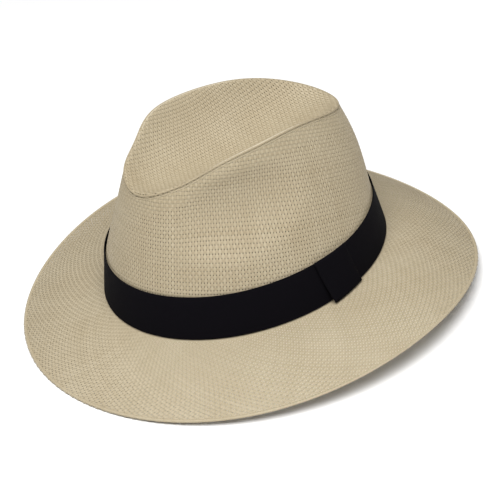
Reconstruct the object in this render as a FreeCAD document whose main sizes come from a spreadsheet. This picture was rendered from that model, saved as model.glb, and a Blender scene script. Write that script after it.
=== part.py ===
import FreeCAD, Part
import math
import os

# Panama hat: a fedora cut and sewn from woven paper-straw cloth.
# Hat frame: origin in the middle of the crown's foot, front = -Y, the wearer's left = +X.
# Every piece is built level in the hat frame. Its Placement then tips the hat so that
# the front and the back of the brim both touch the ground, at Z = 0.

VECTOR = FreeCAD.Vector
os.makedirs("parts", exist_ok=True)
doc = FreeCAD.newDocument("panama_hat")

DIMENSIONS = [
    # crown foot, outside of the straw
    ("foot_half_length", 100.8),
    ("foot_half_width", 85.7),
    ("cloth_thick", 0.9),
    ("foot_height", 0.8),
    ("wall_lean", 0.176),
    ("wall_straight", 26.6),
    ("wall_curve", 1.15),
    ("back_fullness", 3.2),
    # how far the tip seam stands inside the foot, round the crown
    ("seam_inset", 30.24),
    ("seam_inset_front", 3.61),
    ("seam_inset_ends", -9.77),
    ("seam_inset_three", 2.48),
    ("seam_inset_four", -0.68),
    ("seam_pinch", 3.2),
    # height of the tip seam, round the crown
    ("seam_height", 100.18),
    ("seam_height_front", 1.92),
    ("seam_height_ends", -11.15),
    ("seam_height_three", -0.71),
    ("seam_height_four", -1.93),
    ("seam_dip", -3.6),
    ("pinch_angle", 45.0),
    ("pinch_spread", 17.0),
    # the two finger pinches: a shallow bowl pressed into each side of the crown wall
    ("dent_depth", 6.5),
    ("dent_angle", 67.0),
    ("dent_per_degree", 1.5),
    ("dent_height", 75.6),
    ("dent_half_length", 52.0),
    ("dent_half_height", 26.1),
    ("dent_turn", 5.7),
    ("dent_rim", 7.7),
    # the dished tip
    ("tip_centre_y", 6.0),
    ("tip_centre_height", 79.0),
    ("tip_dish", 1.6),
    ("crest_height", 2.5),
    ("crest_inset", 3.0),
    ("seam_gap", 0.5),
    # brim
    ("brim_width", 61.2),
    ("brim_width_ends", -2.0),
    ("edge_height", -20.65),
    ("edge_height_front", 5.19),
    ("edge_height_ends", -6.82),
    ("edge_height_three", 2.9),
    ("brim_bow", -0.44),
    ("brim_flange", 7.0),
    ("brim_flange_inset", 1.1),
    ("edge_roll_radius", 1.25),
    ("edge_wire_radius", 0.7),
    # ribbon band and its loop
    ("band_foot", 0.7),
    ("band_height", 30.1),
    ("band_gap", 0.5),
    ("band_thick", 0.6),
    ("loop_front_top", 90.5),
    ("loop_back_top", 107.3),
    ("loop_front_foot", 94.0),
    ("loop_back_foot", 110.0),
    ("loop_overlap", 1.0),
    ("loop_flare", 3.2),
    ("loop_thick", 1.1),
    # sweatband inside the crown
    ("sweat_foot", 0.6),
    ("sweat_height", 25.0),
    ("sweat_inset", 2.3),
    ("sweat_thick", 0.8),
    # thin lining of the crown, tucked behind the sweatband
    ("lining_thick", 0.3),
    ("lining_foot", 8.0),
    ("lining_foot_depth", 1.4),
    ("lining_depth", 2.4),
    ("lining_bend_low", 18.0),
    ("lining_bend_high", 34.0),
    ("lining_top_drop", 3.2),
    ("lining_tip_inset", 3.1),
    ("lining_tip_drop", 4.8),
    # tapes and threads
    ("tape_width", 9.0),
    ("tape_thick", 0.5),
    ("tape_gap", 0.25),
    ("back_tape_foot", 31.0),
    ("thread_radius", 0.16),
    ("stitch_length", 2.6),
    ("stitch_pitch", 4.0),
    ("tack_length", 2.2),
    # how the hat stands
    ("rest_tilt", 2.9),
    ("rest_shift", -1.4),
    ("rest_height", 28.8),
]

sheet = doc.addObject("Spreadsheet::Sheet", "dims")
for row, (alias, value) in enumerate(DIMENSIONS, start=1):
    sheet.set("A%d" % row, alias)
    sheet.set("B%d" % row, str(value))
    sheet.setAlias("B%d" % row, alias)
doc.recompute()


def dim(alias):
    """Reads one driving dimension from the sheet."""
    return float(sheet.get(alias))


# ---------------------------------------------------------------- the hat's surfaces

def around(prefix, angle):
    """Mean value, front-to-back swing and end-to-side swing of a size round the hat."""
    total = dim(prefix) + dim(prefix + "_front") * math.cos(angle)
    total += dim(prefix + "_ends") * math.cos(2 * angle)
    total += dim(prefix + "_three") * math.cos(3 * angle)
    return total


def bump(value, spread):
    return math.exp(-(value / spread) ** 2)


def oval(angle, offset):
    """A point of the foot oval, moved square to it; 0 is the front, 90 deg the left."""
    half_length = dim("foot_half_length")
    half_width = dim("foot_half_width")
    x = half_width * math.sin(angle)
    y = -half_length * math.cos(angle)
    nx = math.sin(angle) / half_width
    ny = -math.cos(angle) / half_length
    size = math.hypot(nx, ny)
    return x + offset * nx / size, y + offset * ny / size


def side_angle(angle):
    """The angle from the front, the same on the left and on the right."""
    return abs(math.degrees(math.atan2(math.sin(angle), math.cos(angle))))


def seam_inset(angle):
    pinch = dim("seam_pinch") * bump(side_angle(angle) - dim("pinch_angle"), dim("pinch_spread"))
    return around("seam_inset", angle) + dim("seam_inset_four") * math.cos(4 * angle) + pinch


def seam_height(angle):
    dip = dim("seam_dip") * bump(side_angle(angle) - dim("pinch_angle"), dim("pinch_spread"))
    return around("seam_height", angle) + dim("seam_height_four") * math.cos(4 * angle) + dip


def dent(angle, height):
    """How deep the finger pinch presses the wall in."""
    along = (side_angle(angle) - dim("dent_angle")) * dim("dent_per_degree")
    above = height - dim("dent_height")
    turn = math.radians(dim("dent_turn"))
    level = (along * math.cos(turn) + above * math.sin(turn)) / dim("dent_half_length")
    upright = (above * math.cos(turn) - along * math.sin(turn)) / dim("dent_half_height")
    rim = dim("dent_rim")
    return dim("dent_depth") * math.log1p(math.exp(rim * (1 - level ** 2 - upright ** 2))) / rim


def wall_offset(angle, height):
    """How far the crown wall stands inside its foot oval at a height."""
    top = seam_height(angle)
    lean = dim("wall_lean")
    extra = seam_inset(angle) - lean * top
    straight = dim("wall_straight")
    rise = max(height - straight, 0.0) / (top - straight)
    inset = lean * height + extra * rise ** dim("wall_curve")
    band_top = dim("band_foot") + dim("band_height")
    over_band = min(max((height - band_top) / (top - band_top), 0.0), 1.0)
    back = max(-math.cos(angle), 0.0) ** 2
    inset -= dim("back_fullness") * back * math.sin(math.pi * over_band)
    inset += dent(angle, height) - dent(angle, top) * rise ** 2
    return -inset


def wall_point(angle, height, depth=0.0):
    """A point of the crown wall, a depth in from its outer face."""
    x, y = oval(angle, wall_offset(angle, height) - depth)
    return VECTOR(x, y, height)


def brim_width(angle):
    return dim("brim_width") + dim("brim_width_ends") * math.cos(2 * angle)


def brim_point(angle, part, depth=0.0):
    """A point of the brim's top face; part 0 is the crown's foot and 1 the edge."""
    x, y = oval(angle, part * brim_width(angle))
    edge = dim("edge_height") + dim("edge_height_front") * math.cos(angle)
    edge += dim("edge_height_ends") * math.cos(2 * angle)
    edge += dim("edge_height_three") * math.cos(3 * angle)
    drop = part + dim("brim_bow") * part * (1 - part)
    return VECTOR(x, y, edge * drop - depth)


def tip_point(reach, angle):
    """A point of the dished tip; reach 0 is its middle and 1 the seam."""
    seam = wall_point(angle, seam_height(angle))
    middle_y = dim("tip_centre_y")
    x = seam.x * reach
    y = middle_y + (seam.y - middle_y) * reach
    inside = (1 - reach) * math.hypot(seam.x, seam.y - middle_y) / dim("crest_inset")
    crest = dim("crest_height") * inside * math.exp(1 - inside)
    middle = dim("tip_centre_height")
    height = middle + (seam.z - middle) * reach ** dim("tip_dish") + crest
    return VECTOR(x, y, height + dim("seam_gap"))


# ---------------------------------------------------------------- solids from surfaces

def surface(rows):
    face = Part.BSplineSurface()
    face.interpolate(rows)
    return face


def edge_faces(outer, inner):
    """The four narrow faces that join two matching surfaces round their borders."""
    first_u, last_u, first_v, last_v = outer.bounds()
    pairs = [
        (outer.uIso(first_u), inner.uIso(first_u)),
        (outer.uIso(last_u), inner.uIso(last_u)),
        (outer.vIso(first_v), inner.vIso(first_v)),
        (outer.vIso(last_v), inner.vIso(last_v)),
    ]
    return [Part.makeRuledSurface(a.toShape(), b.toShape()) for a, b in pairs]


def closed_solid(faces):
    shell = Part.makeShell(faces)
    shell.sewShape()
    solid = Part.Solid(shell)
    if solid.Volume < 0:
        solid.reverse()
    return solid


def patch_solid(outer_rows, inner_rows):
    """A thin closed solid between two matching grids of points."""
    outer = surface(outer_rows)
    inner = surface(inner_rows)
    return closed_solid([outer.toShape(), inner.toShape()] + edge_faces(outer, inner))


def ring_solid(outline, columns=40):
    """A closed ring; outline(angle) gives matching outer and inner lines of points."""
    faces = []
    for start in (-math.pi, 0.0):
        angles = [start + math.pi * i / columns for i in range(columns + 1)]
        lines = [outline(angle) for angle in angles]
        outer = surface([line[0] for line in lines])
        inner = surface([line[1] for line in lines])
        faces += [outer.toShape(), inner.toShape()]
        faces += edge_faces(outer, inner)[2:]
    return closed_solid(faces)


def steps(low, high, count):
    return [low + (high - low) * i / (count - 1) for i in range(count)]


def add_piece(name, shape):
    piece = doc.addObject("Part::Feature", name)
    piece.Label = name
    piece.Shape = shape
    return piece


# ---------------------------------------------------------------- crown cloth

def wall_line(angle):
    heights = steps(dim("foot_height"), seam_height(angle), 29)
    outer = [wall_point(angle, height) for height in heights]
    inner = [wall_point(angle, height, dim("cloth_thick")) for height in heights]
    return outer, inner


def tip_grid(depth, inset=0.0, drop=0.0, cells=40):
    """Rows of points over the tip, pressed a depth in along its own normal.

    inset leaves out a margin round the edge, and drop lowers the whole grid.
    """
    rows = []
    step = 0.002
    for row in steps(-1.0, 1.0, cells + 1):
        line = []
        for column in steps(-1.0, 1.0, cells + 1):
            across = row * math.sqrt(1 - column ** 2 / 2)
            along = column * math.sqrt(1 - row ** 2 / 2)
            angle = math.atan2(across, -along)
            seam = wall_point(angle, seam_height(angle))
            whole = 1 - inset / math.hypot(seam.x, seam.y - dim("tip_centre_y"))
            reach = min(math.hypot(across, along), 1.0) * whole
            point = tip_point(reach, angle) - VECTOR(0, 0, drop)
            if depth:
                near = max(reach, 0.05)
                out = tip_point(near + step, angle) - tip_point(near - step, angle)
                turn = tip_point(near, angle + step) - tip_point(near, angle - step)
                normal = turn.cross(out)
                normal.normalize()
                if normal.z < 0:
                    normal = normal * -1
                point = point - normal * depth
            line.append(point)
        rows.append(line)
    return rows


add_piece("crown_side", ring_solid(wall_line, 60))
add_piece("crown_tip", patch_solid(tip_grid(0.0), tip_grid(dim("cloth_thick"))))


# ---------------------------------------------------------------- brim

def brim_line(angle):
    """The brim in section: the turned-up flange inside the crown, then the brim."""
    thick = dim("cloth_thick")
    inset = dim("brim_flange_inset")
    top = dim("brim_flange")
    outer = []
    inner = []
    for height in (top, 0.6 * top, 0.3 * top, 0.9):
        lean = dim("wall_lean") * height
        x, y = oval(angle, -lean - inset)
        outer.append(VECTOR(x, y, height))
        x, y = oval(angle, -lean - inset - thick)
        inner.append(VECTOR(x, y, height))
    x, y = oval(angle, -inset * 0.75)
    outer.append(VECTOR(x, y, 0.25))
    x, y = oval(angle, -inset - 0.6 * thick)
    inner.append(VECTOR(x, y, -0.5 * thick))
    for part in steps(0.005, 1.0 - (2 * dim("edge_roll_radius") + 0.2) / brim_width(angle), 14):
        outer.append(brim_point(angle, part))
        inner.append(brim_point(angle, part, thick))
    return outer, inner


def edge_path(offset, drop):
    """A closed line round the brim's edge."""
    points = []
    for angle in steps(0, 2 * math.pi, 97)[:-1]:
        point = brim_point(angle, 1.0 - offset / brim_width(angle), drop)
        points.append(point)
    curve = Part.BSplineCurve()
    curve.interpolate(points, PeriodicFlag=True)
    return Part.Wire(curve.toShape())


def swept_ring(path, radius):
    edge = path.Edges[0]
    start = edge.valueAt(edge.FirstParameter)
    profile = Part.Wire(Part.makeCircle(radius, start, edge.tangentAt(edge.FirstParameter)))
    sweep = Part.BRepOffsetAPI.MakePipeShell(path)
    sweep.setBiNormalMode(VECTOR(0, 0, 1))
    sweep.add(profile)
    sweep.build()
    sweep.makeSolid()
    return sweep.shape()


add_piece("brim", ring_solid(brim_line, 48))
roll_path = edge_path(dim("edge_roll_radius"), 0.5 * dim("cloth_thick"))
roll = swept_ring(roll_path, dim("edge_roll_radius"))
roll_bore = swept_ring(roll_path, dim("edge_wire_radius") + 0.1)
add_piece("brim_edge_roll", roll.cut(roll_bore))
add_piece("brim_wire", swept_ring(roll_path, dim("edge_wire_radius")))


# ---------------------------------------------------------------- ribbon band and loop

def cone_ring(name, outset, thick, foot, rise):
    """A ring of ribbon that leans in with the crown wall, driven by the sheet."""
    lofts = []
    for kind, extra in (("outer", outset + "+" + thick), ("inner", outset)):
        ovals = []
        for level, height in (("foot", foot), ("top", foot + "+dims." + rise)):
            oval_line = doc.addObject("Part::Ellipse", "%s_%s_%s" % (name, kind, level))
            lean = "-dims.wall_lean*(dims.%s)" % height
            oval_line.setExpression("MajorRadius", "dims.foot_half_length+%s%s" % (extra, lean))
            oval_line.setExpression("MinorRadius", "dims.foot_half_width+%s%s" % (extra, lean))
            oval_line.Placement.Rotation = FreeCAD.Rotation(VECTOR(0, 0, 1), 90)
            oval_line.setExpression("Placement.Base.z", "dims." + height)
            ovals.append(oval_line)
        loft = doc.addObject("Part::Loft", "%s_%s" % (name, kind))
        loft.Sections = ovals
        loft.Solid = True
        loft.Ruled = True
        lofts.append(loft)
    ring = doc.addObject("Part::Cut", name)
    ring.Label = name
    ring.Base = lofts[0]
    ring.Tool = lofts[1]
    return ring


def loop_point(along, rise, out):
    """A point of the loop round the band: along it from front to back, and up it."""
    top = math.radians(dim("loop_front_top") + along * (dim("loop_back_top") - dim("loop_front_top")))
    foot_span = dim("loop_back_foot") - dim("loop_front_foot")
    foot = math.radians(dim("loop_front_foot") + along * foot_span)
    angle = foot + (top - foot) * rise
    height = 0.9 + rise * (dim("band_foot") + dim("band_height") + dim("loop_overlap") - 0.9)
    stand = dim("band_gap") + dim("band_thick") + 0.3
    flare = dim("loop_flare") * (1 - rise) ** 2 * (1 - 0.35 * along)
    x, y = oval(angle, -dim("wall_lean") * height + stand + flare + out)
    return VECTOR(x, y, height)


def loop_rows(out):
    return [[loop_point(along, rise, out) for rise in steps(0, 1, 9)] for along in steps(0, 1, 9)]


cone_ring("hat_band", "dims.band_gap", "dims.band_thick", "band_foot", "band_height")
add_piece("band_loop", patch_solid(loop_rows(dim("loop_thick")), loop_rows(0.0)))
cone_ring("sweatband", "-dims.sweat_inset-dims.sweat_thick", "dims.sweat_thick",
          "sweat_foot", "sweat_height")


# ---------------------------------------------------------------- lining of the crown

def lining_depth(height):
    """How deep the lining stands: close to the wall behind the sweatband, deeper above it."""
    bend = dim("lining_bend_high") - dim("lining_bend_low")
    part = min(max((height - dim("lining_bend_low")) / bend, 0.0), 1.0)
    ease = part * part * (3 - 2 * part)
    return dim("lining_foot_depth") + (dim("lining_depth") - dim("lining_foot_depth")) * ease


def lining_line(angle):
    """The lining's side, from behind the sweatband to the lining's own tip."""
    heights = steps(dim("lining_foot"), seam_height(angle) - dim("lining_top_drop"), 17)
    thick = dim("lining_thick")
    outer = [wall_point(angle, height, lining_depth(height)) for height in heights]
    inner = [wall_point(angle, height, lining_depth(height) + thick) for height in heights]
    return outer, inner


tip_margin = (dim("lining_tip_inset"), dim("lining_tip_drop"))
add_piece("lining_side", ring_solid(lining_line))
add_piece("lining_tip", patch_solid(tip_grid(0.0, *tip_margin),
                                    tip_grid(dim("lining_thick"), *tip_margin)))


# ---------------------------------------------------------------- tapes inside the crown

def seam_tape_line(angle):
    """Tape under the tip seam, against the inside of the wall."""
    top = seam_height(angle) - 2.2
    heights = steps(top - dim("tape_width"), top, 5)
    near = dim("cloth_thick") + dim("tape_gap")
    outer = [wall_point(angle, height, near) for height in heights]
    inner = [wall_point(angle, height, near + dim("tape_thick")) for height in heights]
    return outer, inner


def back_tape_rows(depth):
    """Tape up the back seam of the wall, against its inside."""
    low = dim("back_tape_foot")
    half = 0.5 * dim("tape_width") / dim("foot_half_width")
    rows = []
    for angle in steps(math.pi - half, math.pi + half, 5):
        top = seam_height(angle) - dim("tape_width") - 3.4
        near = dim("cloth_thick") + dim("tape_gap") + depth
        rows.append([wall_point(angle, height, near) for height in steps(low, top, 9)])
    return rows


add_piece("tip_seam_tape", ring_solid(seam_tape_line))
add_piece("back_seam_tape", patch_solid(back_tape_rows(0.0), back_tape_rows(dim("tape_thick"))))


# ---------------------------------------------------------------- threads

def stitch(start, end):
    """One stitch: a short straight length of thread."""
    return Part.makeCylinder(dim("thread_radius"), (end - start).Length, start, end - start)


def stitch_row(point_at, count, share):
    """Stitches round a closed row; share is the sewn part of each pitch."""
    turn = 2 * math.pi / count
    stitches = []
    for i in range(count):
        stitches.append(stitch(point_at(turn * i), point_at(turn * (i + share))))
    return Part.makeCompound(stitches)


def tip_stitch_point(angle):
    depth = dim("cloth_thick") + dim("tape_gap") + dim("tape_thick") + dim("thread_radius") + 0.06
    return wall_point(angle, seam_height(angle) - 4.0, depth)


def brim_stitch_point(angle):
    return wall_point(angle, 4.0, -dim("thread_radius") - 0.05)


def lining_stitch_point(angle):
    depth = dim("lining_depth") + dim("lining_thick") + dim("thread_radius") + 0.06
    return wall_point(angle, seam_height(angle) - dim("lining_top_drop") - 2.4, depth)


def sweat_stitch_point(angle):
    depth = dim("sweat_inset") + dim("sweat_thick") + dim("thread_radius") + 0.08
    height = dim("sweat_foot") + 2.5
    x, y = oval(angle, -dim("wall_lean") * height - depth)
    return VECTOR(x, y, height)


share_sewn = dim("stitch_length") / dim("stitch_pitch")
foot_girth = math.pi * (dim("foot_half_length") + dim("foot_half_width"))
seam_girth = 0.74 * foot_girth
add_piece("tip_seam_stitches",
          stitch_row(tip_stitch_point, int(seam_girth / dim("stitch_pitch")), share_sewn))
add_piece("lining_stitches",
          stitch_row(lining_stitch_point, int(seam_girth / dim("stitch_pitch")), share_sewn))
add_piece("brim_seam_stitches",
          stitch_row(brim_stitch_point, int(foot_girth / dim("stitch_pitch")), share_sewn))
add_piece("sweatband_stitches",
          stitch_row(sweat_stitch_point, int(foot_girth / dim("stitch_pitch")), share_sewn))

back_stitches = []
thread_depth = dim("cloth_thick") + dim("tape_gap") + dim("tape_thick") + dim("thread_radius") + 0.06
height = dim("back_tape_foot") + 1.0
while height < seam_height(math.pi) - dim("tape_width") - 7.0:
    top = height + dim("stitch_length")
    back_stitches.append(stitch(wall_point(math.pi, height, thread_depth),
                                wall_point(math.pi, top, thread_depth)))
    height += dim("stitch_pitch")
add_piece("back_seam_stitches", Part.makeCompound(back_stitches))

tacks = []
for angle in (20, 60, 99, 140, 220, 260, 300, 340):
    turn = math.radians(angle)
    depth = dim("cloth_thick") + dim("thread_radius") + 0.06
    low = dim("sweat_foot") + dim("sweat_height") + 1.2
    tacks.append(stitch(wall_point(turn, low, depth),
                        wall_point(turn, low + dim("tack_length"), depth)))
add_piece("band_tacks", Part.makeCompound(tacks))


# ---------------------------------------------------------------- stand the hat up and write

doc.recompute()
NODES = ["crown_side", "crown_tip", "tip_seam_tape", "tip_seam_stitches", "back_seam_tape",
         "back_seam_stitches", "brim", "brim_edge_roll", "brim_wire", "brim_seam_stitches",
         "hat_band", "band_loop", "band_tacks", "sweatband", "sweatband_stitches",
         "lining_side", "lining_tip", "lining_stitches"]
for name in NODES:
    piece = doc.getObjectsByLabel(name)[0]
    tilt = FreeCAD.Rotation(VECTOR(1, 0, 0), dim("rest_tilt"))
    piece.Placement = FreeCAD.Placement(VECTOR(0, dim("rest_shift"), dim("rest_height")), tilt)
doc.recompute()

for item in doc.Objects:
    if "Invalid" in item.State or "Error" in item.State:
        raise RuntimeError("%s did not build: %s" % (item.Label, item.State))
for name in NODES:
    shape = doc.getObjectsByLabel(name)[0].Shape
    if shape.isNull() or not shape.isValid() or shape.Volume <= 0:
        raise RuntimeError("%s is not a valid solid" % name)
    shape.exportStep("parts/%s.step" % name)
    print(name, len(shape.Solids), round(shape.Volume), [round(v, 2) for v in (
        shape.BoundBox.XMin, shape.BoundBox.XMax, shape.BoundBox.YMin, shape.BoundBox.YMax,
        shape.BoundBox.ZMin, shape.BoundBox.ZMax)])
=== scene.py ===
import math

import bpy
import numpy as np
from mathutils import Matrix, Vector


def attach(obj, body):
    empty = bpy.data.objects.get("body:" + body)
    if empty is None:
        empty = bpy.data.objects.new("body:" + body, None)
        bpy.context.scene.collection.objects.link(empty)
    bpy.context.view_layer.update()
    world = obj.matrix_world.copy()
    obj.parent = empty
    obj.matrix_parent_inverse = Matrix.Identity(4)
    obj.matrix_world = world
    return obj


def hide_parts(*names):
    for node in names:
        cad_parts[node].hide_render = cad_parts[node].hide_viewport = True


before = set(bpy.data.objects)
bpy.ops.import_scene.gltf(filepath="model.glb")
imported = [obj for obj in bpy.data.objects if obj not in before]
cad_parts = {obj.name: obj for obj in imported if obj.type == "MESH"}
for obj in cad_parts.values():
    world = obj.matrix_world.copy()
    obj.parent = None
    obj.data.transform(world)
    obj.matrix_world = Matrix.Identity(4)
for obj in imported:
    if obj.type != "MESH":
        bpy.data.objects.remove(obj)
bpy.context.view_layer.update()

RNG = np.random.default_rng(7)
MM = 0.001

# ------------------------------------------------------------------ the hat's sizes, mm
# Hat frame as in part.py: the crown's foot at height 0, front = -Y, wearer's left = +X.
FOOT_A, FOOT_B = 100.8, 85.7            # half length and half width of the crown's foot
LEAN = 0.176                            # lean of the wall behind the band
STRAIGHT, CURVE = 26.6, 1.15            # height of the straight wall, and how it curves in above
FULLNESS = 3.2                          # how far the back of the crown fills out
BAND_TOP = 30.8
PINCH_ANGLE, PINCH_SPREAD = 45, 17      # the pinches at the front of the seam, degrees
PINCH_IN, PINCH_DOWN = 3.2, 3.6
DENT_ANGLE, DENT_HEIGHT = 67.0, 75.6    # middle of the finger pinch in the wall
DENT_PER_DEGREE, DENT_TURN = 1.5, math.radians(5.7)
DENT_HALF_LENGTH, DENT_HALF_HEIGHT = 52.0, 26.1
DENT_DEPTH, DENT_RIM = 6.5, 7.7
BRIM_WIDTH, BRIM_WIDTH_ENDS, BRIM_BOW = 61.2, -2.0, 0.44
HEM_PITCH = 2.3                         # strands that cross the brim's edge
TIP_MIDDLE_Y, TIP_MIDDLE_Z, TIP_DISH = 6.0, 79.0, 1.6
CREST_UP, CREST_IN, SEAM_GAP = 2.5, 3.0, 0.5
TILT = math.radians(2.9)                # how the hat tips forward on its brim
SHIFT_Y, REST_Z = -1.4, 28.8

CLOTH_MIDDLE = 0.45                     # depth of the cloth's middle under its outer face
COLUMN_PITCH, ROW_PITCH = 2.02, 2.52    # strands of the cloth
STRAND_THICK, WAVE = 0.24, 0.125        # a strand's thickness, and how far it weaves in and out
COLUMN_COVER, ROW_COVER = 0.76, 0.705   # share of the pitch that a strand covers
TIP_WARP_COVER, TIP_WEFT_COVER, BRIM_COVER = 0.72, 0.80, 0.78
SAMPLES = 3                             # points along a strand at each crossing


def bump(value, spread):
    return np.exp(-(value / spread) ** 2)


def side_degrees(angle):
    return np.abs(np.degrees(np.arctan2(np.sin(angle), np.cos(angle))))


def oval(angle, offset):
    """A point of the foot oval moved square to it; angle 0 is the front, 90 deg the left."""
    nx = np.sin(angle) / FOOT_B
    ny = -np.cos(angle) / FOOT_A
    size = np.hypot(nx, ny)
    return FOOT_B * np.sin(angle) + offset * nx / size, -FOOT_A * np.cos(angle) + offset * ny / size


def seam_inset(angle):
    return (30.24 + 3.61 * np.cos(angle) - 9.77 * np.cos(2 * angle) + 2.48 * np.cos(3 * angle)
            - 0.68 * np.cos(4 * angle) + PINCH_IN * bump(side_degrees(angle) - PINCH_ANGLE, PINCH_SPREAD))


def seam_height(angle):
    return (100.18 + 1.92 * np.cos(angle) - 11.15 * np.cos(2 * angle) - 0.71 * np.cos(3 * angle)
            - 1.93 * np.cos(4 * angle) - PINCH_DOWN * bump(side_degrees(angle) - PINCH_ANGLE, PINCH_SPREAD))


def dent(angle, height):
    """How deep the finger pinch presses the wall in, on each side."""
    along = (side_degrees(angle) - DENT_ANGLE) * DENT_PER_DEGREE
    above = height - DENT_HEIGHT
    cosine, sine = math.cos(DENT_TURN), math.sin(DENT_TURN)
    level = (along * cosine + above * sine) / DENT_HALF_LENGTH
    upright = (above * cosine - along * sine) / DENT_HALF_HEIGHT
    return DENT_DEPTH * np.log1p(np.exp(DENT_RIM * (1 - level ** 2 - upright ** 2))) / DENT_RIM


def wall_offset(angle, height):
    """How far the wall stands out from the foot oval; negative is inward."""
    top = seam_height(angle)
    rise = np.maximum(height - STRAIGHT, 0) / (top - STRAIGHT)
    back = np.maximum(-np.cos(angle), 0) ** 2
    inset = LEAN * height + (seam_inset(angle) - LEAN * top) * rise ** CURVE
    over_band = np.clip((height - BAND_TOP) / (top - BAND_TOP), 0, 1)
    inset = inset - FULLNESS * back * np.sin(math.pi * over_band)
    return -inset - dent(angle, height) + dent(angle, top) * rise ** 2


def wall_point(angle, height, depth=0.0):
    """A point of the crown wall, a depth in from its outer face."""
    x, y = oval(angle, wall_offset(angle, height) - depth)
    return np.stack(np.broadcast_arrays(x, y, height), -1)


def brim_width(angle):
    return BRIM_WIDTH + BRIM_WIDTH_ENDS * np.cos(2 * angle)


def brim_point(angle, part, depth=0.0):
    """A point of the brim; part 0 is the crown's foot and 1 the edge."""
    x, y = oval(angle, part * brim_width(angle))
    edge = -20.65 + 5.19 * np.cos(angle) - 6.82 * np.cos(2 * angle) + 2.9 * np.cos(3 * angle)
    z = edge * (part - BRIM_BOW * part * (1 - part)) - depth
    return np.stack(np.broadcast_arrays(x, y, z), -1)


def tip_point(reach, angle, depth=0.0):
    """A point of the dished tip; reach 0 is its middle and 1 the seam."""
    seam = wall_point(angle, seam_height(angle))
    x = seam[..., 0] * reach
    y = TIP_MIDDLE_Y + (seam[..., 1] - TIP_MIDDLE_Y) * reach
    inside = (1 - reach) * np.hypot(seam[..., 0], seam[..., 1] - TIP_MIDDLE_Y) / CREST_IN
    crest = CREST_UP * inside * np.exp(1 - inside)
    z = TIP_MIDDLE_Z + (seam[..., 2] - TIP_MIDDLE_Z) * np.maximum(reach, 0) ** TIP_DISH
    return np.stack([x, y, z + crest + SEAM_GAP - depth], -1)


def stand(points):
    """Tips the level hat to the way it stands, and turns millimetres into metres."""
    c, s = math.cos(TILT), math.sin(TILT)
    x, y, z = points[..., 0], points[..., 1], points[..., 2]
    return np.stack([x, y * c - z * s + SHIFT_Y, y * s + z * c + REST_Z], -1) * MM


# ------------------------------------------------------------------ materials

def node_material(name):
    material = bpy.data.materials.new(name)
    material.use_nodes = True
    tree = material.node_tree
    return material, tree, tree.nodes["Principled BSDF"]


def mix_rgb(tree, factor, a, b, kind="MIX"):
    """A colour mix; factor, a and b are sockets or plain values."""
    node = tree.nodes.new("ShaderNodeMix")
    node.data_type = "RGBA"
    node.blend_type = kind
    for socket, value in ((node.inputs[0], factor), (node.inputs[6], a), (node.inputs[7], b)):
        if isinstance(value, bpy.types.NodeSocket):
            tree.links.new(value, socket)
        else:
            socket.default_value = value
    return node.outputs[2]


def ramp(tree, factor, low, high):
    node = tree.nodes.new("ShaderNodeMapRange")
    tree.links.new(factor, node.inputs[0])
    node.inputs[1].default_value, node.inputs[2].default_value = low, high
    return node.outputs[0]


def noise(tree, scale, detail=4.0, vector=None, rough=0.5):
    node = tree.nodes.new("ShaderNodeTexNoise")
    node.inputs["Scale"].default_value = scale
    node.inputs["Detail"].default_value = detail
    node.inputs["Roughness"].default_value = rough
    if vector is None:
        vector = tree.nodes.new("ShaderNodeTexCoord").outputs["Object"]
    tree.links.new(vector, node.inputs["Vector"])
    return node.outputs["Fac"]


def attribute(tree, name):
    node = tree.nodes.new("ShaderNodeAttribute")
    node.attribute_name = name
    return node


def bump_to(tree, shader, height, strength, distance):
    node = tree.nodes.new("ShaderNodeBump")
    node.inputs["Strength"].default_value = strength
    node.inputs["Distance"].default_value = distance
    tree.links.new(height, node.inputs["Height"])
    tree.links.new(node.outputs[0], shader.inputs["Normal"])


def straw_material(name, light, dark, warm):
    """Twisted paper strands: a tone for each strand, streaks along it and a faint gloss."""
    material, tree, shader = node_material(name)
    tone = attribute(tree, "tone").outputs["Fac"]
    along = attribute(tree, "lay").outputs["Vector"]
    stretch = tree.nodes.new("ShaderNodeMapping")
    stretch.inputs["Scale"].default_value = (0.35, 9.0, 1.0)
    tree.links.new(along, stretch.inputs["Vector"])
    streak = noise(tree, 1.0, 3.0, stretch.outputs[0], 0.6)
    patch = noise(tree, 34.0, 3.0)
    colour = mix_rgb(tree, tone, dark, light)
    colour = mix_rgb(tree, ramp(tree, streak, 0.35, 0.95), colour, warm)
    colour = mix_rgb(tree, ramp(tree, patch, 0.3, 0.75), colour,
                     mix_rgb(tree, 1.0, colour, (0.93, 0.91, 0.88, 1), "MULTIPLY"))
    tree.links.new(colour, shader.inputs["Base Color"])
    shader.inputs["Roughness"].default_value = 0.62
    shader.inputs["Specular IOR Level"].default_value = 0.35
    bump_to(tree, shader, streak, 0.35, 0.00012)
    return material


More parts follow.
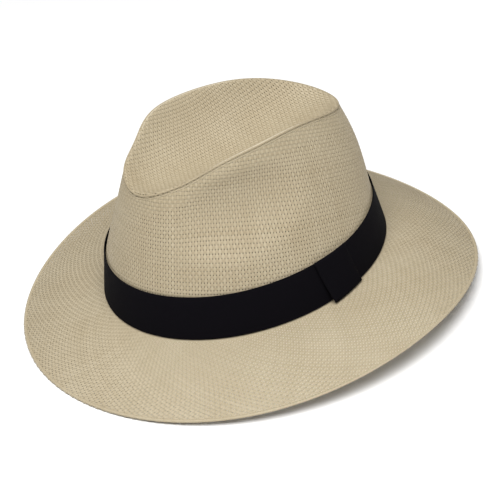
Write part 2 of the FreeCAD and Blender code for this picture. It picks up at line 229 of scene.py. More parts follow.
def ribbon_material(name, colour, high, rib_mm, rough):
    """Grosgrain ribbon: fine upright ribs and a faint mottle."""
    material, tree, shader = node_material(name)
    lay = attribute(tree, "lay").outputs["Vector"]
    split = tree.nodes.new("ShaderNodeSeparateXYZ")
    tree.links.new(lay, split.inputs[0])
    wave = tree.nodes.new("ShaderNodeMath")
    wave.operation = "MULTIPLY"
    wave.inputs[1].default_value = 2 * math.pi / rib_mm
    tree.links.new(split.outputs[0], wave.inputs[0])
    rib = tree.nodes.new("ShaderNodeMath")
    rib.operation = "SINE"
    tree.links.new(wave.outputs[0], rib.inputs[0])
    ribs = ramp(tree, rib.outputs[0], -1.0, 1.0)
    mottle = noise(tree, 900.0, 2.0)
    # The colour runs with the ribs, darker in the troughs and lighter on the crests: painted shade and
    # painted highlight on top of the bump.
    colour_out = mix_rgb(tree, ribs, colour, high)
    colour_out = mix_rgb(tree, ramp(tree, mottle, 0.3, 0.8), colour_out,
                         mix_rgb(tree, 1.0, colour_out, (0.8, 0.8, 0.8, 1), "MULTIPLY"))
    tree.links.new(colour_out, shader.inputs["Base Color"])
    shader.inputs["Roughness"].default_value = rough
    shader.inputs["Specular IOR Level"].default_value = 0.06
    bump_to(tree, shader, ribs, 0.4, 0.00008)
    return material


def thread_material(name, colour, high):
    material, tree, shader = node_material(name)
    twist = noise(tree, 1800.0, 2.0)
    tree.links.new(mix_rgb(tree, ramp(tree, twist, 0.3, 0.7), colour, high),
                   shader.inputs["Base Color"])
    shader.inputs["Roughness"].default_value = 0.5
    bump_to(tree, shader, twist, 0.4, 0.0001)
    return material


STRAW = straw_material("straw_cloth", (0.474, 0.408, 0.290, 1), (0.403, 0.341, 0.230, 1),
                       (0.436, 0.370, 0.250, 1))
# The next two are copies of straw_cloth for the two crossing strand directions: the first about as light,
# the second about a tenth darker, painted shade standing in for how light falls on strands that run
# different ways.
STRAW_PAINTED_LIT = straw_material("straw_cloth_painted_lit", (0.479, 0.412, 0.288, 1), (0.416, 0.351, 0.237, 1),
                          (0.443, 0.377, 0.261, 1))
STRAW_PAINTED_SHADE = straw_material("straw_cloth_painted_shade", (0.420, 0.354, 0.242, 1), (0.356, 0.295, 0.191, 1),
                            (0.385, 0.322, 0.216, 1))
BLACK = ribbon_material("black_ribbon", (0.0024, 0.0020, 0.0034, 1), (0.0042, 0.0036, 0.0058, 1),
                        0.55, 0.85)
SWEAT = ribbon_material("sweat_ribbon", (0.0085, 0.0080, 0.0095, 1), (0.018, 0.017, 0.020, 1), 0.9, 0.8)
TAPE = ribbon_material("cotton_tape", (0.60, 0.52, 0.38, 1), (0.72, 0.65, 0.50, 1), 0.7, 0.85)
SATIN = ribbon_material("lining_satin", (0.0070, 0.0066, 0.0080, 1), (0.0105, 0.0100, 0.0120, 1),
                        0.35, 0.45)
THREAD = thread_material("straw_thread", (0.48, 0.38, 0.23, 1), (0.62, 0.52, 0.34, 1))
BLACK_THREAD = thread_material("black_thread", (0.006, 0.006, 0.008, 1), (0.015, 0.015, 0.018, 1))
WIRE = thread_material("edge_wire", (0.60, 0.58, 0.52, 1), (0.68, 0.66, 0.60, 1))


# ------------------------------------------------------------------ meshes

def new_mesh(name, points, quads, material, tone=None, lay=None, smooth=True):
    mesh = bpy.data.meshes.new(name)
    mesh.vertices.add(len(points))
    mesh.vertices.foreach_set("co", np.ascontiguousarray(points, np.float32).ravel())
    mesh.loops.add(quads.size)
    mesh.loops.foreach_set("vertex_index", np.ascontiguousarray(quads, np.int32).ravel())
    mesh.polygons.add(len(quads))
    mesh.polygons.foreach_set("loop_start", np.arange(0, quads.size, 4, dtype=np.int32))
    mesh.polygons.foreach_set("use_smooth", np.full(len(quads), smooth))
    if tone is not None:
        mesh.attributes.new("tone", "FLOAT", "POINT").data.foreach_set(
            "value", np.ascontiguousarray(tone, np.float32).ravel())
    if lay is not None:
        mesh.attributes.new("lay", "FLOAT_VECTOR", "POINT").data.foreach_set(
            "vector", np.ascontiguousarray(lay, np.float32).ravel())
    mesh.materials.append(material)
    mesh.update(calc_edges=True)
    piece = bpy.data.objects.new(name, mesh)
    bpy.context.scene.collection.objects.link(piece)
    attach(piece, "root")
    return piece


# A strand's section is a flat strip of rolled paper: one edge, across the top, the other edge.
SECTION = np.array([(-1.0, -0.5), (-0.86, 1.0), (0.86, 1.0), (1.0, -0.5)])


def strand_piece(name, surface, paths, material):
    """Strands woven over a surface.

    surface(a, b) gives points; each path is (a, b, lift, width): the line it follows, how
    far it is lifted off the surface there and how wide it is, all in mm.
    """
    counts = np.array([len(path[0]) for path in paths])
    a, b, lift, width = (np.concatenate([path[k] for path in paths]) for k in range(4))
    points = surface(a, b)
    step = 1e-3
    along_a = surface(a + step, b) - surface(a - step, b)
    along_b = surface(a, b + step) - surface(a, b - step)
    normal = np.cross(along_a, along_b)
    normal /= np.linalg.norm(normal, axis=1, keepdims=True) + 1e-12
    strand = np.repeat(np.arange(len(paths)), counts)
    ends = np.cumsum(counts)
    starts = ends - counts
    lifted = points + normal * lift[:, None]
    ahead = np.minimum(np.arange(len(a)) + 1, ends[strand] - 1)
    behind = np.maximum(np.arange(len(a)) - 1, starts[strand])
    run = lifted[ahead] - lifted[behind]
    run /= np.linalg.norm(run, axis=1, keepdims=True) + 1e-12
    across = np.cross(normal, run)
    across /= np.linalg.norm(across, axis=1, keepdims=True) + 1e-12
    up = np.cross(run, across)
    wide = 0.5 * width * (1 + 0.05 * np.sin(np.arange(len(a)) * 0.9 + strand * 2.1)
                          + 0.04 * RNG.standard_normal(len(a)))
    ring = (lifted[:, None, :] + across[:, None, :] * (SECTION[None, :, :1] * wide[:, None, None])
            + up[:, None, :] * (SECTION[None, :, 1:] * 0.5 * STRAND_THICK))
    sides = len(SECTION)
    first = np.setdiff1d(np.arange(len(a)), ends - 1)
    quads = []
    for k in range(sides):
        nxt = (k + 1) % sides
        quads.append(np.stack([first * sides + k, first * sides + nxt,
                               (first + 1) * sides + nxt, (first + 1) * sides + k], 1))
    for ring_at, order in ((starts, (3, 2, 1, 0)), (ends - 1, (0, 1, 2, 3))):
        quads.append(np.stack([ring_at * sides + k for k in order], 1))
    length = np.linalg.norm(np.diff(points, axis=0, prepend=points[:1]), axis=1)
    length[starts] = 0
    travelled = np.cumsum(length)
    tone = np.clip(0.5 + 0.2 * RNG.standard_normal(len(paths)), 0, 1)[strand]
    lay = np.zeros((len(a), sides, 3))
    lay[..., 0] = travelled[:, None] + strand[:, None] * 37.7
    lay[..., 1] = np.array([0, 0.25, 0.75, 1])[None, :] + strand[:, None] * 5.3
    return new_mesh(name, stand(ring.reshape(-1, 3)), np.concatenate(quads), material,
                    np.repeat(tone, sides), lay.reshape(-1, 3), smooth=False)


def trimmed(room, *values):
    """Cuts sampled lines where room, the distance left inside the cloth, runs out."""
    inside = np.concatenate([[False], room > 0, [False]])
    change = np.flatnonzero(inside[1:] != inside[:-1])
    index = np.arange(len(room))
    pieces = []
    for start, end in zip(change[::2], change[1::2] - 1):
        if end - start < 2:
            continue
        at = list(range(start, end + 1))
        if start > 0:
            at.insert(0, start - room[start] / (room[start] - room[start - 1]))
        if end < len(room) - 1:
            at.append(end + room[end] / (room[end] - room[end + 1]))
        pieces.append([np.interp(at, index, value) for value in (room,) + values])
    return pieces


# ------------------------------------------------------------------ crown side cloth

FULL_TURN = np.linspace(-math.pi, math.pi, 1441)


def arc_table(offset):
    """Share of the way round the oval, -1 to 1 from back to back, at each angle."""
    x, y = oval(FULL_TURN, offset)
    steps = np.hypot(np.diff(x), np.diff(y))
    total = np.concatenate([[0], np.cumsum(steps)])
    return total / total[-1] * 2 - 1, total[-1]


SIDE_ARC, FOOT_GIRTH = arc_table(0.0)
FAN = 0.22                                     # the flat cloth is a fan: turn per turn of the hat
FAN_RADIUS = FOOT_GIRTH / (2 * math.pi * FAN)
GRAIN_ANGLE = 0.11                             # where the cloth's grain is upright, of half a turn
SLANT = 1.045                                  # cloth up the wall for each mm of height
SEAM_TURN, TIP_TURN = 0.7, 0.6                 # how far each cloth's edge turns in at the seam
TIP_HALF_WIDTH = 50.0


def flat_to_wall(x, y):
    """From the flat cloth's straight grain to the wall: angle and height."""
    turn = np.arctan2(x, FAN_RADIUS - y)
    slant = FAN_RADIUS - np.hypot(x, FAN_RADIUS - y)
    share = turn / (math.pi * FAN) + GRAIN_ANGLE
    return share, slant / SLANT


def share_to_angle(share):
    whole = np.floor((share + 1) / 2)
    return np.interp(share - 2 * whole, SIDE_ARC, FULL_TURN) + 2 * math.pi * whole


def wall_cloth(angle, height):
    """Middle of the wall's cloth, its top edge turned in at the seam."""
    turned = SEAM_TURN * np.exp(-np.maximum(seam_height(angle) - height, 0) / SEAM_TURN)
    return wall_point(angle, height, CLOTH_MIDDLE + turned)


def wall_flat(x, y):
    share, height = flat_to_wall(x, y)
    angle = share_to_angle(share)
    return wall_point(angle, np.clip(height, 0, seam_height(angle)), CLOTH_MIDDLE)


def gap(surface, x, y, step_x, step_y):
    """How far apart neighbouring strands lie on the surface."""
    half_x, half_y = 0.5 * step_x, 0.5 * step_y
    moved = surface(x + half_x, y + half_y) - surface(x - half_x, y - half_y)
    return np.linalg.norm(moved, axis=-1)


def wall_paths(lines, along, upright):
    paths = []
    for number, line in lines:
        fixed = np.full(len(along), line)
        x, y = (fixed, along) if upright else (along, fixed)
        share, height = flat_to_wall(x, y)
        angle = share_to_angle(share)
        top = seam_height(angle)
        room = np.minimum(np.minimum(height, top - height), (1 - np.abs(share)) * 0.5 * FOOT_GIRTH)
        sign = (1 if number % 2 == 0 else -1) * (1 if upright else -1)
        lift = WAVE * sign * np.cos(math.pi * along / (ROW_PITCH if upright else COLUMN_PITCH))
        pitch = gap(wall_flat, x, y, COLUMN_PITCH * upright, ROW_PITCH * (not upright))
        cover = COLUMN_COVER if upright else ROW_COVER
        paths += [(*part[1:4], np.minimum(cover * part[4], part[0] + 0.5))
                  for part in trimmed(room, np.unwrap(angle), height, lift, pitch)]
    return paths


def line_numbers(low, high, pitch):
    """The whole numbers of the strands between two places, with one to spare at each end."""
    return range(int(low / pitch) - 1, int(high / pitch) + 2)


FAN_TURN = math.pi * FAN * (1 + GRAIN_ANGLE)   # the widest turn of the fan from its grain
FAN_HALF = FAN_RADIUS * math.sin(FAN_TURN)
FAN_LOW, FAN_HIGH = -4.0, FAN_RADIUS * (1 - math.cos(FAN_TURN)) + 125
column_numbers = line_numbers(-FAN_HALF, FAN_HALF, COLUMN_PITCH)
row_numbers = line_numbers(FAN_LOW, FAN_HIGH, ROW_PITCH)
columns = [(i, i * COLUMN_PITCH) for i in column_numbers]
rows = [(j, j * ROW_PITCH) for j in row_numbers]
down = np.arange(row_numbers[0] * SAMPLES, row_numbers[-1] * SAMPLES + 1) * ROW_PITCH / SAMPLES
over = np.arange(column_numbers[0] * SAMPLES, column_numbers[-1] * SAMPLES + 1) * COLUMN_PITCH / SAMPLES
column_paths = wall_paths(columns, down, True)
row_paths = wall_paths(rows, over, False)


def woven_group(name, surface, paths, count, material):
    """The strands of one direction, as a few pieces of like size."""
    sizes = np.cumsum([len(path[0]) for path in paths])
    part = np.minimum((sizes - 1) * count // sizes[-1], count - 1)
    return [strand_piece("%s_%d" % (name, k + 1), surface,
                         [path for path, p in zip(paths, part) if p == k], material)
            for k in range(count)]


# Columns get the lit copy of the straw, rows the copy darkened with painted shade.
side_warp = woven_group("crown_side_warp", wall_cloth, column_paths, 3, STRAW_PAINTED_LIT)
side_weft = woven_group("crown_side_weft", wall_cloth, row_paths, 3, STRAW_PAINTED_SHADE)


# ------------------------------------------------------------------ crown tip cloth

SEAM_LINE = wall_point(FULL_TURN, seam_height(FULL_TURN))
SEAM_POLAR = np.unwrap(np.arctan2(SEAM_LINE[:, 0], TIP_MIDDLE_Y - SEAM_LINE[:, 1]))
SEAM_REACH = np.hypot(SEAM_LINE[:, 0], SEAM_LINE[:, 1] - TIP_MIDDLE_Y)
TIP_WARP = (2.35, math.radians(2))      # pitch, and direction square to the strands
TIP_WEFT = (1.60, math.radians(101))
TIP_STRANDS = 80


def flat_to_tip(x, y):
    """From the tip's flat cloth to its dish: reach and angle. The dish takes up cloth."""
    polar = np.arctan2(x, -y)
    angle = np.interp(polar, SEAM_POLAR, FULL_TURN)
    full = np.interp(polar, SEAM_POLAR, SEAM_REACH)
    slope = (seam_height(angle) - TIP_MIDDLE_Z) * TIP_DISH / full
    extra = 0.5 * slope ** 2 / (2 * TIP_DISH - 1)
    flat_reach = np.hypot(x, y) / full
    reach = flat_reach
    for _ in range(8):
        reach = flat_reach / (1 + extra * reach ** (2 * TIP_DISH - 2))
    return reach, angle, full


def tip_flat(x, y):
    reach, angle, _ = flat_to_tip(x, y)
    return tip_point(np.minimum(reach, 1), angle, CLOTH_MIDDLE)


def tip_cloth(reach, angle):
    """Middle of the tip's cloth, its edge turned in at the seam."""
    edge = (1 - np.minimum(reach, 1)) * TIP_HALF_WIDTH
    turned = TIP_TURN * np.exp(-edge / TIP_TURN)
    return tip_point(np.minimum(reach, 1), angle, CLOTH_MIDDLE + turned)


def tip_paths(own, other, cover, first_sign):
    """Strands of one family; its own number is the same all along each strand."""
    numbering = np.array([[math.cos(way) / pitch, math.sin(way) / pitch]
                          for pitch, way in (own, other)])
    back = np.linalg.inv(numbering)
    step_x, step_y = own[0] * math.cos(own[1]), own[0] * math.sin(own[1])
    paths = []
    for number in range(-TIP_STRANDS, TIP_STRANDS + 1):
        cross = np.arange(-TIP_STRANDS * SAMPLES, TIP_STRANDS * SAMPLES + 1) / SAMPLES
        x = back[0, 0] * number + back[0, 1] * cross
        y = back[1, 0] * number + back[1, 1] * cross
        reach, angle, full = flat_to_tip(x, y)
        lift = WAVE * first_sign * (1 if number % 2 == 0 else -1) * np.cos(math.pi * cross)
        pitch = gap(tip_flat, x, y, step_x, step_y)
        paths += [(*part[1:4], np.minimum(cover * part[4], part[0] + 0.5))
                  for part in trimmed((1 - reach) * full, reach, np.unwrap(angle), lift, pitch)]
    return paths


# On the tip the warp gets the copy darkened with painted shade, the weft the lit copy.
tip_warp = strand_piece("crown_tip_warp", tip_cloth,
                        tip_paths(TIP_WARP, TIP_WEFT, TIP_WARP_COVER, 1), STRAW_PAINTED_SHADE)
tip_weft = strand_piece("crown_tip_weft", tip_cloth,
                        tip_paths(TIP_WEFT, TIP_WARP, TIP_WEFT_COVER, -1), STRAW_PAINTED_LIT)


# ------------------------------------------------------------------ brim cloth
# A bias strip bent into a ring: both families of strands cross the brim on a slant.

BRIM_A, BRIM_B = 173, 375               # strands of each family met on one turn of the hat
SLOPE_A, SLOPE_B, SLOPE_B_GROWTH = 0.38, 0.13, 0.0045
REACHES = np.linspace(0, BRIM_WIDTH, 400)
SLOPES = {"a": np.full(400, SLOPE_A), "b": SLOPE_B + SLOPE_B_GROWTH * REACHES}
RISE_A = SLOPE_A * REACHES
RISE_B = SLOPE_B * REACHES + 0.5 * SLOPE_B_GROWTH * REACHES ** 2
BRIM_ARC, _ = arc_table(30.0)
MIXED = BRIM_B * RISE_A + BRIM_A * RISE_B
BRIM_END = 0.985                        # the strands end inside the rolled hem


def brim_cloth(share, reach):
    angle = np.interp((share + 1) % 2 - 1, BRIM_ARC, FULL_TURN)
    return brim_point(angle, reach / BRIM_WIDTH, CLOTH_MIDDLE)


def brim_paths(family):
    total, other = (BRIM_A, BRIM_B) if family == "a" else (BRIM_B, BRIM_A)
    paths = []
    for number in range(total):
        first = (MIXED[0] - other * number) / total
        last = (MIXED[-1] - other * number) / total
        inner = np.arange(math.floor(first * SAMPLES) + 1, math.ceil(last * SAMPLES)) / SAMPLES
        cross = np.concatenate([[first], inner, [last]])
        reach = np.interp(other * number + total * cross, MIXED, REACHES)
        count_a = number if family == "a" else cross
        turn = (np.interp(reach, REACHES, RISE_A) - count_a) / BRIM_A
        sign = (1 if number % 2 == 0 else -1) * (1 if family == "a" else -1)
        girth = FOOT_GIRTH + 2 * math.pi * reach
        pitch = 1 / np.hypot(total / girth, np.interp(reach, REACHES, SLOPES[family]))
        paths.append((2 * turn, np.minimum(reach, BRIM_WIDTH * BRIM_END),
                      WAVE * sign * np.cos(math.pi * cross), BRIM_COVER * pitch))
    return paths


brim_a = woven_group("brim_strands_a", brim_cloth, brim_paths("a"), 3, STRAW)
brim_b = woven_group("brim_strands_b", brim_cloth, brim_paths("b"), 3, STRAW)


# ------------------------------------------------------------------ plain rings and strips

def ring_piece(name, section_at, material, turns=480, start=0.0, end=2 * math.pi):
    """A closed section carried round the hat. section_at(angle) gives points and lays."""
    whole = abs(end - start - 2 * math.pi) < 1e-9
    angles = np.linspace(start, end, turns + (0 if whole else 1), endpoint=not whole)
    points, lays = section_at(angles)
    sides = points.shape[1]
    count = len(angles)
    i = np.arange(count if whole else count - 1)
    quads = []
    for k in range(sides):
        nxt = (k + 1) % sides
        quads.append(np.stack([i * sides + k, i * sides + nxt,
                               (i + 1) % count * sides + nxt, (i + 1) % count * sides + k], 1))
    if not whole:
        for at, flip in ((0, True), (count - 1, False)):
            for k in range(sides // 2 - 1):
                cap = [at * sides + k, at * sides + k + 1,
                       at * sides + sides - k - 2, at * sides + sides - k - 1]
                quads.append(np.array([cap[::-1] if flip else cap]))
    straw = material in (STRAW, STRAW_PAINTED_LIT, STRAW_PAINTED_SHADE)
    tone = 0.5 + 0.2 * np.sin(lays[..., 1] * 2.1) if straw else None
    return new_mesh(name, stand(points.reshape(-1, 3)), np.concatenate(quads), material, tone,
                    lays.reshape(-1, 3))


def ribbon_section(heights, out, thick, angles, wobble=0.0):
    """Outer face up, then inner face down, of a ribbon standing round the crown's foot."""
    angles = angles[:, None]
    sway = wobble * (np.sin(7 * angles + 1) + 0.6 * np.sin(13 * angles + 2))
    rows = []
    for k, height in enumerate(heights):
        ends = 0.35 if k in (0, len(heights) - 1) else 0.0
        rows.append((height, out + thick * (0.5 + 0.5 * (1 - ends))))
    for k, height in enumerate(heights[::-1]):
        ends = 0.35 if k in (0, len(heights) - 1) else 0.0
        rows.append((height, out + thick * (0.5 - 0.5 * (1 - ends))))
    height = np.array([row[0] for row in rows])[None, :] + 0 * angles
    offset = np.array([row[1] for row in rows])[None, :] - LEAN * height
    x, y = oval(angles + 0 * height, offset + sway * (height / 30.0))
    arc = np.interp(((angles + math.pi) % (2 * math.pi)) - math.pi, FULL_TURN, SIDE_ARC)
    lays = np.stack([arc * FOOT_GIRTH / 2 + 0 * height, height, 0 * height], -1)
    return np.stack([x, y, height], -1), lays


BAND_LEVELS = np.array([0.7, 0.9, 1.5, 6, 12, 18, 24, 29.8, 30.5, BAND_TOP])
BAND_OUT, BAND_THICK, BAND_SWAY = 0.45, 0.6, 0.05
SWEAT_LEVELS = np.array([0.6, 0.9, 1.6, 8, 16, 24, 25.2, 25.6])
SWEAT_OUT, SWEAT_THICK, SWEAT_SWAY = -3.1, 0.8, 0.1


def band_section(angles):
    return ribbon_section(BAND_LEVELS, BAND_OUT, BAND_THICK, angles, BAND_SWAY)


def sweat_section(angles):
    return ribbon_section(SWEAT_LEVELS, SWEAT_OUT, SWEAT_THICK, angles, SWEAT_SWAY)


band = ring_piece("hat_band_ribbon", band_section, BLACK, 720)
sweat = ring_piece("sweatband_ribbon", sweat_section, SWEAT, 480)


def tube_section(middles, out, up, radius_out, radius_up, sides=10):
    """A rounded edge round the hat: an oval section at each middle, spread out and up."""
    around = np.linspace(0, 2 * math.pi, sides, endpoint=False)[None, :, None]
    out = out / np.linalg.norm(out, axis=-1, keepdims=True)
    up = up - out * (up * out).sum(-1, keepdims=True)
    up = up / np.linalg.norm(up, axis=-1, keepdims=True)
    return (middles[:, None] + out[:, None] * radius_out * np.cos(around)
            + up[:, None] * radius_up * np.sin(around))


def strand_lays(angles, sides, pitch):
    """Lay of strands that cross a rounded edge: each strand has a number of its own."""
    lays = np.zeros((len(angles), sides, 3))
    lays[..., 0] = np.linspace(0, 3, sides)[None, :]
    lays[..., 1] = (angles * FOOT_GIRTH / (2 * math.pi) / pitch)[:, None]
    return lays


def side_fold_section(angles):
    """The top of the crown's side cloth, folded in at the seam."""
    top = seam_height(angles)
    middles = wall_point(angles, top - 1.1, CLOTH_MIDDLE)
    out = wall_point(angles, top, 0.0) - wall_point(angles, top, 1.0)
    up = wall_point(angles, top) - wall_point(angles, top - 1)
    points = tube_section(middles, out, up, 0.36, 0.45)
    return points, strand_lays(angles, points.shape[1], COLUMN_PITCH)


def tip_fold_section(angles):
    """The edge of the tip's cloth, folded down at the seam."""
    full = np.interp(angles, FULL_TURN, SEAM_REACH)
    reach = 1 - 0.6 / full
    middles = tip_point(reach, angles, CLOTH_MIDDLE)
    out = tip_point(1.0, angles) - tip_point(1 - 2.0 / full, angles)
    points = tube_section(middles, out, 0 * out + (0, 0, 1), 0.6, 0.38)
    return points, strand_lays(angles, points.shape[1], COLUMN_PITCH)


# The side fold gets the lit copy of the straw, the tip fold the copy darkened with painted shade.
side_fold = ring_piece("crown_side_fold", side_fold_section, STRAW_PAINTED_LIT, 720)
tip_fold = ring_piece("crown_tip_fold", tip_fold_section, STRAW_PAINTED_SHADE, 720)


def allowance_section(angles):
    """The two seam edges, turned down inside the crown under the tip seam."""
    angles = angles[:, None]
    top = seam_height(angles)
    steps = np.array([-6.5, -3.0, 0.0, 0.9])
    outer = wall_point(angles, top + steps[None, :], 1.05)
    inner = wall_point(angles, top + steps[None, ::-1], 1.75)
    points = np.concatenate([outer, inner], 1)
    points[..., 2] = np.minimum(points[..., 2], top + 0.9)
    lays = np.stack([angles * 60 + 0 * points[..., 0], points[..., 2], 0 * points[..., 0]], -1)
    return points, lays


allowance = ring_piece("tip_seam_allowance", allowance_section, TAPE, 360)


def flange_section(angles):
    """The brim's cloth where it turns up inside the crown and the crown is sewn to it."""
    angles = angles[:, None]
    height = np.array([7.0, 4.2, 2.1, 0.9, 0.3, -0.1])[None, :]
    inset = np.array([1.15, 1.15, 1.15, 1.1, 0.8, 0.1])[None, :]
    x, y = oval(angles + 0 * height, -LEAN * height.clip(0) - inset)
    outer = np.stack(np.broadcast_arrays(x, y, height), -1)
    x, y = oval(angles + 0 * height, -LEAN * height.clip(0) - inset - 0.7)
    inner = np.stack(np.broadcast_arrays(x, y, height - np.array([0, 0, 0, 0.2, 0.4, 0.6])), -1)
    foot = [brim_point(angles, 1.2 / BRIM_WIDTH, depth) for depth in (0.45, 0.75)]
    points = np.concatenate([outer, foot[0], foot[1], inner[:, ::-1]], 1)
    return points, strand_lays(angles[:, 0], points.shape[1], COLUMN_PITCH)


flange = ring_piece("brim_flange_fold", flange_section, STRAW, 720)


LINING_FOOT, LINING_TOP_DROP, LINING_THICK = 8.0, 1.9, 0.3
LINING_TIP_INSET, LINING_TIP_DROP = 2.1, 4.8


def lining_depth(height):
    """How far behind the cloth's outer face the lining hangs; it swings clear of the sweatband."""
    part = np.clip((height - 18.0) / 16.0, 0, 1)
    return 1.4 + part * part * (3 - 2 * part)


def lining_section(angles):
    """The lining's side, with the shallow upright puckers of thin satin."""
    angles = angles[:, None]
    share = np.concatenate([np.linspace(0, 1, 24), np.linspace(1, 0, 24)])[None, :]
    top = seam_height(angles) - LINING_TOP_DROP
    height = LINING_FOOT + (top - LINING_FOOT) * share
    inner_face = np.concatenate([np.zeros(24), np.ones(24)])[None, :]
    pucker = 0.22 * (np.sin(23 * angles + 0.7 * np.sin(5 * angles)) + 0.6 * np.sin(41 * angles + 1))
    depth = lining_depth(height) + pucker * np.clip((height - 34) / 20, 0, 1) * np.clip(share * 4, 0, 1)
    points = wall_point(angles + 0 * share, height, depth + LINING_THICK * inner_face)
    lays = np.stack([angles * 60 + 0 * height, height, 0 * height], -1)
    return points, lays


lining_side = ring_piece("lining_side_satin", lining_section, SATIN, 720)


def disc_piece(name, point_at, material, rings=40, turns=180):
    """A thin round sheet with two faces; point_at(reach, angle, face) gives its points."""
    reach = np.linspace(1.0, 0.0, rings + 1)[:-1]
    angle = np.linspace(0, 2 * math.pi, turns, endpoint=False)
    r, t = np.meshgrid(reach, angle, indexing="ij")
    faces = [point_at(r, t, face).reshape(-1, 3) for face in (0, 1)]
    middles = [point_at(np.zeros(1), np.zeros(1), face) for face in (0, 1)]
    points = np.concatenate(faces + middles)
    index = np.arange(r.size).reshape(r.shape)
    nxt = np.roll(index, -1, axis=1)
    top = np.stack([index[:-1], nxt[:-1], nxt[1:], index[1:]], -1).reshape(-1, 4)
    pair = np.arange(0, turns, 2)
    last = index[-1]
    hub = np.stack([last[pair], last[(pair + 1) % turns], last[(pair + 2) % turns],
                    np.full(len(pair), 2 * r.size)], -1)
    rim = np.stack([index[0], index[0] + r.size, nxt[0] + r.size, nxt[0]], -1)
    under = hub[:, ::-1] + r.size
    under[:, 0] = 2 * r.size + 1
    quads = np.concatenate([top, top[:, ::-1] + r.size, hub, under, rim])
    return new_mesh(name, stand(points), quads, material, lay=points)


def lining_tip_point(reach, angle, face):
    full = np.interp((angle + math.pi) % (2 * math.pi) - math.pi, FULL_TURN, SEAM_REACH)
    whole = 1 - LINING_TIP_INSET / full
    ripple = 0.3 * np.sin(9 * angle) * reach ** 2 * (1 - reach) * 4
    points = tip_point(reach * whole, angle, LINING_TIP_DROP + LINING_THICK * face)
    points[..., 2] += ripple
    return points


lining_tip = disc_piece("lining_tip_satin", lining_tip_point, SATIN)


EDGE_RADIUS = 162.0                     # mean radius of the brim's edge
HEM_IN, HEM_HALF_WIDTH, HEM_HALF_HEIGHT, HEM_SWELL = 1.25, 1.10, 0.84, 0.05
HEM_SIDES, HEM_TURNS = 12, 2400


def hem_section(angles):
    """The brim's edge, turned tightly round its wire; its strands cross it."""
    number = angles * EDGE_RADIUS / HEM_PITCH
    middle = 1.0 - HEM_IN / brim_width(angles)
    middles = brim_point(angles, middle, CLOTH_MIDDLE)
    out = brim_point(angles, middle + 0.01, CLOTH_MIDDLE) - middles
    swell = 1 + HEM_SWELL * np.cos(2 * math.pi * number)[:, None, None]
    points = tube_section(middles, out, 0 * out + (0, 0, 1), HEM_HALF_WIDTH * swell,
                          HEM_HALF_HEIGHT * swell, HEM_SIDES)
    lays = np.zeros(points.shape)
    lays[..., 0] = np.linspace(0, 3, HEM_SIDES)[None, :]
    lays[..., 1] = number[:, None]
    return points, lays


hem = ring_piece("brim_edge_hem", hem_section, STRAW, HEM_TURNS)


LOOP_TOP_ANGLES, LOOP_FOOT_ANGLES = (90.5, 107.3), (94.0, 110.0)    # front and back edge
LOOP_FOOT, LOOP_OVER_BAND = 0.9, 1.0
LOOP_OUT, LOOP_FLARE, LOOP_FLARE_FADE = 1.4, 3.2, 0.75


def loop_point(along, rise, out):
    """A point of the loop round the band: along it from front to back, and up it."""
    top, foot = (math.radians(front) + along * math.radians(back - front)
                 for front, back in (LOOP_TOP_ANGLES, LOOP_FOOT_ANGLES))
    angle = foot + (top - foot) * rise
    height = LOOP_FOOT + rise * (BAND_TOP + LOOP_OVER_BAND - LOOP_FOOT)
    flare = LOOP_FLARE * (1 - rise) ** 2 * (1 - LOOP_FLARE_FADE * along)
    x, y = oval(angle, -LEAN * height + LOOP_OUT + flare + out)
    return np.stack(np.broadcast_arrays(x, y, height), -1)


def loop_piece(name, material):
    """The loop as a sheet with two faces and a soft border."""
    across = np.linspace(0, 1, 25)
    rises = np.linspace(0, 1, 25)
    a, r = np.meshgrid(across, rises, indexing="ij")
    edge = np.minimum(np.minimum(a, 1 - a) * 27, np.minimum(r, 1 - r) * 31)
    round_off = 0.5 * np.exp(-edge / 0.5)
    outer = loop_point(a, r, 1.1 - round_off * 0.6)
    inner = loop_point(a, r, 0.0 + round_off * 0.3)
    points = np.concatenate([outer.reshape(-1, 3), inner.reshape(-1, 3)])
    n = len(rises)
    quads = []
    index = np.arange(a.size).reshape(a.shape)
    for shift, flip in ((0, False), (a.size, True)):
        q = np.stack([index[:-1, :-1], index[1:, :-1], index[1:, 1:], index[:-1, 1:]], -1) + shift
        q = q.reshape(-1, 4)
        quads.append(q[:, ::-1] if flip else q)
    border = np.concatenate([index[:-1, 0], index[-1, :-1], index[:0:-1, -1], index[0, :0:-1]])
    nxt = np.roll(border, -1)
    quads.append(np.stack([border, border + a.size, nxt + a.size, nxt], -1))
    lays = np.stack([np.concatenate([a.ravel(), a.ravel()]) * 27,
                     np.concatenate([r.ravel(), r.ravel()]) * 31, np.zeros(2 * a.size)], -1)
    return new_mesh(name, stand(points), np.concatenate(quads), material, lay=lays)


loop = loop_piece("band_loop_ribbon", BLACK)

# ------------------------------------------------------------------ what stands for what

STANDS_FOR = {
    "crown_side": side_warp + side_weft + [side_fold, allowance],
    "crown_tip": [tip_warp, tip_weft, tip_fold],
    "brim": brim_a + brim_b + [flange],
    "brim_edge_roll": [hem],
    "hat_band": [band],
    "band_loop": [loop],
    "sweatband": [sweat],
    "lining_side": [lining_side],
    "lining_tip": [lining_tip],
}
for node, pieces in STANDS_FOR.items():
    for piece in pieces:
        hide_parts(node)


# ------------------------------------------------------------------ materials for the tapes, wire and stitches from model.glb


for node, material in (("tip_seam_tape", TAPE), ("back_seam_tape", TAPE), ("brim_wire", WIRE),
                       ("tip_seam_stitches", THREAD), ("back_seam_stitches", THREAD),
                       ("brim_seam_stitches", THREAD), ("sweatband_stitches", THREAD),
                       ("band_tacks", BLACK_THREAD), ("lining_stitches", BLACK_THREAD)):
    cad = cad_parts[node]
    cad.data.materials.clear()
    cad.data.materials.append(material)

# ------------------------------------------------------------------ floor, light, camera

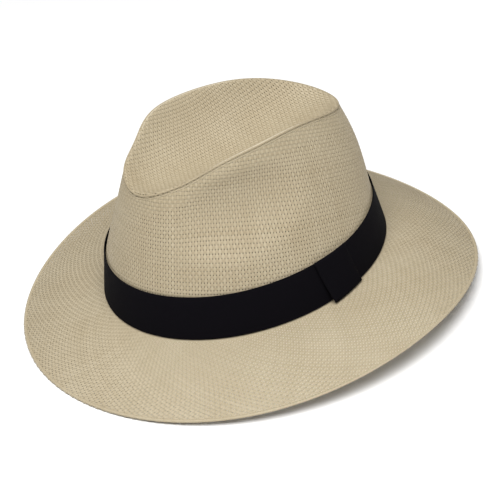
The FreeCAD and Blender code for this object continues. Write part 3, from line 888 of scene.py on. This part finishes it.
FLOOR_HALF = 4
floor_mesh = bpy.data.meshes.new("floor")
floor_mesh.from_pydata([(-FLOOR_HALF, -FLOOR_HALF, 0), (FLOOR_HALF, -FLOOR_HALF, 0),
                        (FLOOR_HALF, FLOOR_HALF, 0), (-FLOOR_HALF, FLOOR_HALF, 0)],
                       [], [(0, 1, 2, 3)])
floor = bpy.data.objects.new("floor", floor_mesh)
bpy.context.scene.collection.objects.link(floor)
floor_paint, _, floor_shader = node_material("floor_paint")
floor_shader.inputs["Base Color"].default_value = (0.97, 0.97, 0.97, 1)
floor_shader.inputs["Roughness"].default_value = 0.9
floor_mesh.materials.append(floor_paint)

world = bpy.data.worlds.new("studio")
world.use_nodes = True
world.node_tree.nodes["Background"].inputs[0].default_value = (1.0, 1.0, 1.0, 1)
world.node_tree.nodes["Background"].inputs[1].default_value = 0.10
bpy.context.scene.world = world

AZIMUTH, ELEVATION, ROLL = math.radians(59.5), math.radians(34.5), math.radians(-10.3)
DISTANCE, LENS, SENSOR = 1.704, 180.9648, 36
SHIFT_RIGHT, SHIFT_UP = 0.00848, 0.0097
KEY_DISTANCE, KEY_SIZE, KEY_POWER = 2.2, 1.9, 78
tilt = Matrix.Rotation(TILT, 3, "X")
back = Vector((math.sin(AZIMUTH) * math.cos(ELEVATION), -math.cos(AZIMUTH) * math.cos(ELEVATION),
               math.sin(ELEVATION)))
right = Vector((math.cos(AZIMUTH), math.sin(AZIMUTH), 0))
up = back.cross(right)
view_right = right * math.cos(ROLL) + up * math.sin(ROLL)
view_up = up * math.cos(ROLL) - right * math.sin(ROLL)
foot = Vector((0, SHIFT_Y, REST_Z)) * MM


toward_key = Vector((0.29, -0.24, 0.925)).normalized()
key = bpy.data.lights.new("key", "AREA")
key.shape = "SQUARE"
key.size = KEY_SIZE
key.energy = KEY_POWER
key_lamp = bpy.data.objects.new("key", key)
bpy.context.scene.collection.objects.link(key_lamp)
key_lamp.location = foot + toward_key * KEY_DISTANCE
key_lamp.rotation_mode = "QUATERNION"
key_lamp.rotation_quaternion = (-toward_key).to_track_quat("-Z", "Y")

camera_data = bpy.data.cameras.new("camera")
camera_data.lens = LENS
camera_data.sensor_width = SENSOR
camera_data.shift_x = SHIFT_RIGHT
camera_data.shift_y = SHIFT_UP
camera = bpy.data.objects.new("camera", camera_data)
bpy.context.scene.collection.objects.link(camera)
rotation = Matrix((tilt @ view_right, tilt @ view_up, tilt @ back)).transposed()
camera.rotation_mode = "QUATERNION"
camera.rotation_quaternion = rotation.to_quaternion()
camera.location = foot + (tilt @ back) * DISTANCE
bpy.context.scene.camera = camera
bpy.context.scene.view_settings.view_transform = "Standard"
